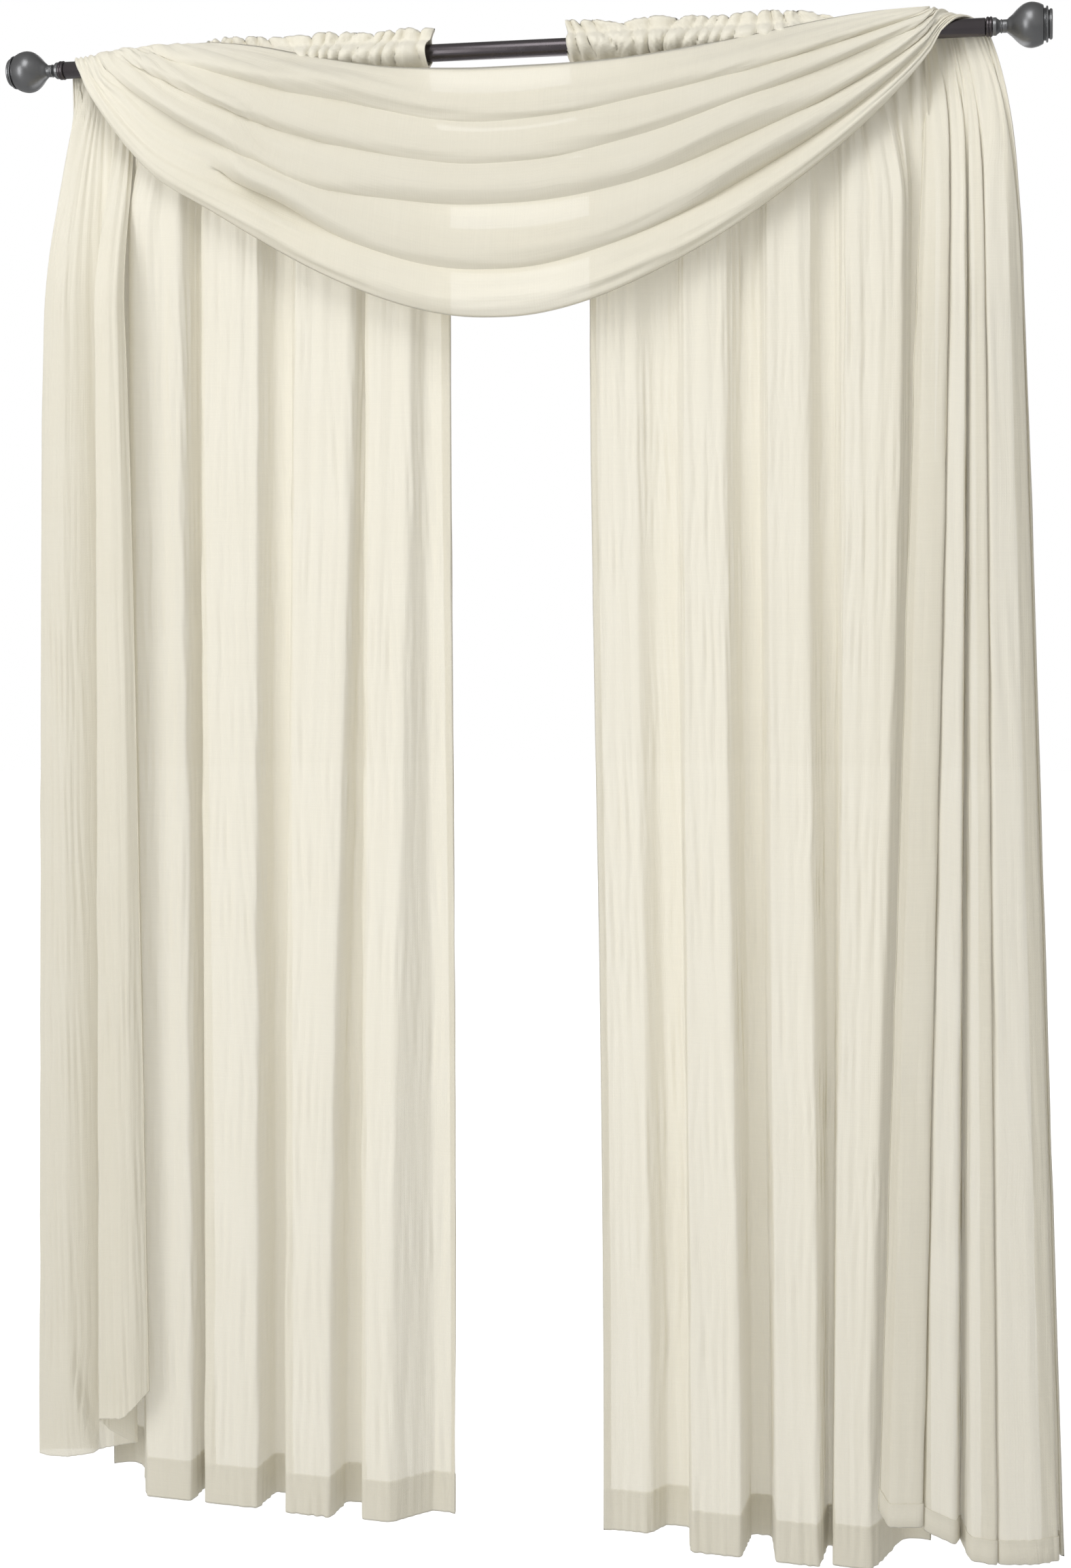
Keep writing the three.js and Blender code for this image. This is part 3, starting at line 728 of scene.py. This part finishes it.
leftTail = {
    "side": "left", "front": (-470, -648), "fan": 0.5, "back": (-590, -672), "opening": 200,
    "fall": 4,  # its column in the scarf's lines
    "lines": [  # place once it has spread, place at the hem, depth, height of the hem
        (-551, -510, -74, -1936),
        (-556, -526, -88, -1955),
        (-568, -545, -91, -1974),
        (-588, -584, -88, -1978),
        (-584, -572, -72, -2000),
        (-568, -545, -44, -2028),
        (-568, -545, -36, -2030),
        (-604, -592, -42, -2040),
        (-628, -616, -55, -2044),
        (-652, -642, -63, -2048),
        (-676, -674, -61, -2051),
        (-690, -692, -54, -2052),
        (-691, -693, -42, -2052),
        (-614, -606, -26, -2046),
        (-664, -660, -8, -2042),
    ],
}
leftTuck = {
    "top": (-648, -1860), "hem": (-600, -2050),
    "height": 10, "edge": 1.8, "reach": 45, "grown": 0.5,
}
rightTail = {
    "side": "right", "front": (600, 616), "fan": 1.0, "back": (588, 678), "opening": 100,
    "fall": 5,
    "lines": [
        (598, 536, -60, -2006),
        (608, 552, -90, -2014),
        (640, 597, -92, -2008),
        (622, 578, -20, -2012),
        (642, 599, -89, -2014),
        (657, 639, -93, -2026),
        (652, 643, -50, -2036),
        (661, 658, -92, -2045),
        (675, 694, -94, -2047),
        (660, 670, -16, -2048),
        (677, 696, -91, -2047),
        (702, 742, -82, -2046),
        (716, 772, -62, -2047),
        (700, 750, -30, -2047),
        (718, 779, -50, -2046),
    ],
}


def lineShare(index):
    return index / (len(scarf["lines"]) - 1)


def tailPoint(tail, index, share):
    spread, hem, deep, bottom = tail["lines"][index]
    start = between(*tail["back"], lineShare(index))
    down = -bottom * share
    opened = 1 - np.exp(-down / tail["opening"])
    x = start + (spread - start) * opened + (hem - spread) * share
    y = between(scarf["lines"][index][0], deep, ramp(0, scarf["swingReach"], down))
    return np.stack([x, y, -down], axis=1)


def wrapPoint(tail, index, share):
    radius, leaves = scarf["lines"][index][:2]
    angle = np.radians(between(leaves, 180, share))
    front = between(*tail["front"], lineShare(index) ** tail["fan"])
    rear = between(*tail["back"], lineShare(index))
    return np.stack([between(front, rear, share), -radius * np.cos(angle), radius * np.sin(angle)], axis=1)


def swagPoint(tail, index, share):
    line = scarf["lines"][index]
    end = wrapPoint(tail, index, np.zeros(1))[0]
    fall = line[tail["fall"]]
    soft = scarf["rounding"]
    rounded = (np.hypot(share, soft) - soft) / (math.hypot(1, soft) - soft)
    rise = 1 - (1 - rounded ** fall) ** scarf["plunge"]
    if index == 0:
        rise = (1 - np.cos(math.pi * share ** fall)) / 2
    y = between(line[2], end[1], share ** line[6])
    z = between(line[3], end[2], rise)
    for pocketLine, side, place, width, backward, upward in scarf["pockets"]:
        if pocketLine == index and side == tail["side"]:
            swell = np.exp(-((share - place) / width) ** 2) * (1 - share ** scarf["pocketEase"])
            y = y + backward * swell
            z = z + upward * swell
    return np.stack([end[0] * share, y, z], axis=1)


def scarfLines():
    tailShares = np.linspace(0, 1, scarf["tailRows"])[1:] ** scarf["tailBunching"]
    tailShares = np.insert(tailShares, -1, 1 - drop["hemEdge"] / -leftTail["lines"][-1][3])
    wrapShares = np.linspace(0, 1, scarf["wrapRows"] + 1)[1:]
    half = np.linspace(0, 1, scarf["swagRows"] // 2 + 1)
    lines = []
    for index in range(len(scarf["lines"])):
        lines.append(np.concatenate([
            tailPoint(leftTail, index, tailShares[::-1]),
            wrapPoint(leftTail, index, wrapShares[::-1]),
            swagPoint(leftTail, index, half[:0:-1]),
            swagPoint(rightTail, index, half),
            wrapPoint(rightTail, index, wrapShares),
            tailPoint(rightTail, index, tailShares),
        ]))
    return np.stack(lines, axis=1)


def shutFold(lines, place):
    # the fold closes for a stretch towards the left end
    first, last, start, stop, reopened = scarf["shutFold"]
    shut = (ramp(start, stop, -place) * (1 - ramp(reopened, 1, -place)))[:, None]
    for index in range(first, last + 1):
        flat = between(lines[:, first - 1], lines[:, last + 1], (index - first + 1) / (last - first + 2))
        lines[:, index] = between(lines[:, index], flat, shut)


def tuckLift(points):
    # the slanting crease near the left tail's hem: the cloth stands proud to its left
    (topX, topZ), (hemX, hemZ) = leftTuck["top"], leftTuck["hem"]
    down = (topZ - points[:, :, 2]) / (topZ - hemZ)
    beside = between(topX, hemX, down) - points[:, :, 0]
    proud = np.exp(-np.maximum(0, beside) / leftTuck["reach"])
    swell = ramp(-leftTuck["edge"], leftTuck["edge"], beside) * proud
    return leftTuck["height"] * swell * ramp(0, leftTuck["grown"], down)


def addScarf():
    lines = scarfLines()
    half = scarf["swagRows"] // 2
    ends = scarf["tailRows"] + scarf["wrapRows"]
    place = (np.arange(lines.shape[0]) - ends - half) / half
    shutFold(lines, place)
    steps = stepsFor(lines, scarf["columns"])
    crisp = np.minimum(1, np.abs(place)) ** scarf["crisp"]
    creased = creasedLines(lines, steps, scarf["softFolds"])
    points = between(throughLines(lines, steps), creased, crisp[:, None, None])
    points[:, :, 1] -= tuckLift(points)
    back = backOf(points)
    across, along = flatPlace(points, 1)
    fromRod = np.linalg.norm(points[:, :, 1:], axis=2).mean(axis=1, keepdims=True)
    near = np.exp(-np.maximum(0, fromRod - scarf["pleatFrom"]) / scarf["pleatReach"])
    drift = scarf["pleatDrift"] * np.sin(turn * scarf["driftWaves"] * across)
    pleat = np.sin(turn * (scarf["pleats"] * across + drift))
    spread = runningLength(points, 1)[:, -1:] / (scarfCut[0] / mm)  # its width here, as a share of the cut
    relief = scarf["crush"] * crush(across * scarfCut[0], along, scarf["seed"])
    relief = relief * np.clip(spread * scarf["crushSpread"], scarf["crushLeast"], 1)
    relief = relief + scarf["pleatDepth"] * near * pleat
    points = points + relief[:, :, None] * back
    gathered = np.clip(scarf["denseFrom"] - scarf["denseFall"] * spread, 0, 1) + 0 * across
    turned = scarf["edgeColumns"], scarf["hemRows"], -cloth["layerGap"]
    points, gathered = turnEdges(points, back, gathered, *turned)
    mesh = clothMesh(scarf["name"], points, gathered, scarfCut[0])
    piece = addPiece(scarf["name"], mesh, sheer, scarf["node"])
    thicken(piece)
    print(scarf["name"], "draped:", points.shape[0], "rows of", points.shape[1])


addScarf()


# Floor and light

stage = {"floor": -2.122, "reach": 9.0, "albedo": 0.3, "glow": 1.0, "bounce": 0.35}
lights = [  # name, place, aim, width, height, power
    ("keyLight", (-2.4, -3.7, -0.2), (-0.2, 0, -1.1), 2.0, 3.0, 65),
    ("fillLight", (2.3, -3.7, -0.2), (0.1, 0, -0.8), 1.5, 3.0, 2),
    ("topLight", (0, -2.6, 2.2), (0, 0, -0.6), 2.0, 2.0, 48),
    ("backLight", (0.09, 0.75, -1.1), (0.09, 0, -1.1), 0.8, 1.6, 6),
    ("rearLight", (0, 3.2, 0.4), (0, 0, -1.0), 3.0, 3.0, 30),
]
ambience = {
    "front": 0.56, "rear": 0.3,
    "turning": {"From Min": -0.3, "From Max": 0.5},  # from a little before the part to behind it
    "tint": (1, 0.99, 0.97, 1),
}


def addFloor():
    bm = bmesh.new()
    bmesh.ops.create_circle(bm, cap_ends=True, segments=96, radius=stage["reach"])
    mesh = bpy.data.meshes.new("floor")
    bm.to_mesh(mesh)
    bm.free()
    finish, tree = startFinish("paleFloor")
    paint = addNode(tree, "ShaderNodeBsdfDiffuse", {"Color": (stage["albedo"],) * 3 + (1,)})
    path = addNode(tree, "ShaderNodeLightPath")
    shine = addNode(tree, "ShaderNodeMapRange")
    shine.inputs["To Min"].default_value = stage["bounce"]
    shine.inputs["To Max"].default_value = stage["glow"]
    glow = addNode(tree, "ShaderNodeEmission")
    both = addNode(tree, "ShaderNodeAddShader")
    link(tree, path, "Is Camera Ray", shine, "Value")
    link(tree, shine, "Result", glow, "Strength")
    out = addNode(tree, "ShaderNodeOutputMaterial")
    link(tree, paint, "BSDF", both, 0)
    link(tree, glow, "Emission", both, 1)
    link(tree, both, "Shader", out, "Surface")
    mesh.materials.append(finish)
    floor = bpy.data.objects.new("floor", mesh)
    floor.location = (0, 0, stage["floor"])
    bpy.context.collection.objects.link(floor)


def addLights():
    for name, place, aim, width, height, power in lights:
        lamp = bpy.data.lights.new(name, "AREA")
        lamp.shape = "RECTANGLE"
        lamp.size = width
        lamp.size_y = height
        lamp.energy = power
        holder = bpy.data.objects.new(name, lamp)
        holder.location = place
        holder.rotation_euler = (Vector(aim) - Vector(place)).to_track_quat("-Z", "Y").to_euler()
        holder.visible_camera = False
        bpy.context.collection.objects.link(holder)
    world = bpy.data.worlds.new("studio")
    world.use_nodes = True
    tree = world.node_tree
    tree.nodes.clear()
    path = addNode(tree, "ShaderNodeLightPath")
    seen = addNode(tree, "ShaderNodeBackground", {"Color": (1, 1, 1, 1), "Strength": 1.0})
    around = addNode(tree, "ShaderNodeBackground", {"Color": ambience["tint"]})
    direction = addNode(tree, "ShaderNodeTexCoord")
    parts = addNode(tree, "ShaderNodeSeparateXYZ")
    dimmer = addNode(tree, "ShaderNodeMapRange", ambience["turning"])
    dimmer.inputs["To Min"].default_value = ambience["front"]
    dimmer.inputs["To Max"].default_value = ambience["rear"]
    pick = addNode(tree, "ShaderNodeMixShader")
    out = addNode(tree, "ShaderNodeOutputWorld")
    link(tree, direction, "Generated", parts, "Vector")
    link(tree, parts, "Y", dimmer, "Value")
    link(tree, dimmer, "Result", around, "Strength")
    link(tree, path, "Is Camera Ray", pick, 0)
    link(tree, around, "Background", pick, 1)
    link(tree, seen, "Background", pick, 2)
    link(tree, pick, "Shader", out, "Surface")
    bpy.context.scene.world = world


addFloor()
addLights()
scene = bpy.context.scene
scene.view_settings.view_transform = "Standard"
scene.cycles.transparent_max_bounces = 32
scene.cycles.max_bounces = 6
scene.cycles.diffuse_bounces = 3
scene.cycles.transmission_bounces = 4
print("floor and lights set")
